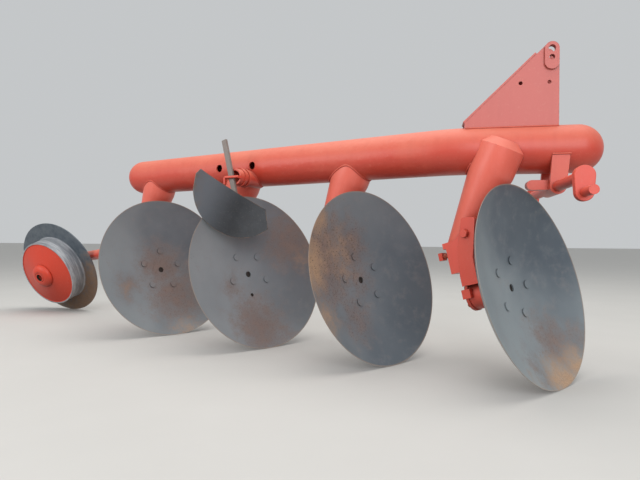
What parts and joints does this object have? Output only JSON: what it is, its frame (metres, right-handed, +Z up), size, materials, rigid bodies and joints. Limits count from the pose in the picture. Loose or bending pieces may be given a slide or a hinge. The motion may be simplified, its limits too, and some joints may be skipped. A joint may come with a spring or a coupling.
{
  "type": "disc plough",
  "caption": "Mounted disc plough: a bent tubular beam with raked legs, tilted dished discs on bearings, a two-plate mast, a cross shaft and a leaning rear furrow wheel.",
  "frame": {"origin": "middle of the bounding box on the floor under the plough", "axes": "+X forward, the way the plough is pulled, +Y to its left, +Z up"},
  "size_m": [3.3213, 1.6772, 1.213],
  "materials": {
    "red_enamel": "sun-faded orange-red enamel, chalky on the upper faces",
    "grey_enamel": "weathered grey paint",
    "disc_steel": "dark blue-grey paint with rust",
    "rim_steel": "worn steel with brown rust",
    "bare_steel": "oxidised steel",
    "bolts": "rusty dark steel"
  },
  "bodies": {
    "frame": {"adjusters_1": "bolts", "adjusters_2": "bolts", "adjusters_3": "bolts", "adjusters_4": "bolts", "beam": "red_enamel", "bearing_1": "red_enamel", "bearing_2": "red_enamel", "bearing_3": "red_enamel", "bearing_4": "red_enamel", "crank_left": "red_enamel", "crank_right": "red_enamel", "cross_shaft": "bare_steel", "foot_1": "red_enamel", "foot_2": "red_enamel", "foot_3": "red_enamel", "foot_4": "red_enamel", "hitch_bracket": "red_enamel", "hitch_pin_left": "bare_steel", "hitch_pin_right": "bare_steel", "leg_1": "red_enamel", "leg_2": "red_enamel", "leg_3": "red_enamel", "leg_4": "red_enamel", "mast_plate_left": "red_enamel", "mast_plate_right": "red_enamel", "mast_strip": "red_enamel", "scraper_blade": "disc_steel", "scraper_boss": "red_enamel", "scraper_clamp": "bare_steel", "scraper_post": "grey_enamel", "tail_arm": "red_enamel", "tail_bracket": "red_enamel", "wheel_axle": "bare_steel"},
    "disc_1": {"disc_1": "disc_steel", "disc_bolts_1": "bolts", "hub_1": "red_enamel"},
    "disc_2": {"disc_2": "disc_steel", "disc_bolts_2": "bolts", "hub_2": "red_enamel"},
    "disc_3": {"disc_3": "disc_steel", "disc_bolts_3": "bolts", "hub_3": "red_enamel"},
    "disc_4": {"disc_4": "disc_steel", "disc_bolts_4": "bolts", "hub_4": "red_enamel"},
    "rear_wheel": {"wheel_face": "red_enamel", "wheel_rim": "rim_steel"}
  },
  "joints": [
    {"name": "disc_1_spin", "type": "hinge", "parent": "frame", "child": "disc_1", "pos_m": [-0.27835, 0.0778, 0.34359], "axis": [0.7807, -0.5672, 0.2622], "continuous": true},
    {"name": "disc_2_spin", "type": "hinge", "parent": "frame", "child": "disc_2", "pos_m": [0.28005, -0.12765, 0.34359], "axis": [0.7807, -0.5672, 0.2622], "continuous": true},
    {"name": "disc_3_spin", "type": "hinge", "parent": "frame", "child": "disc_3", "pos_m": [0.83846, -0.33311, 0.34359], "axis": [0.7807, -0.5672, 0.2622], "continuous": true},
    {"name": "disc_4_spin", "type": "hinge", "parent": "frame", "child": "disc_4", "pos_m": [1.39686, -0.53856, 0.34359], "axis": [0.7807, -0.5672, 0.2622], "continuous": true},
    {"name": "rear_wheel_spin", "type": "hinge", "parent": "frame", "child": "rear_wheel", "pos_m": [-1.35558, 0.63968, 0.29009], "axis": [-0.1888, -0.9117, -0.3649], "continuous": true}
  ]
}
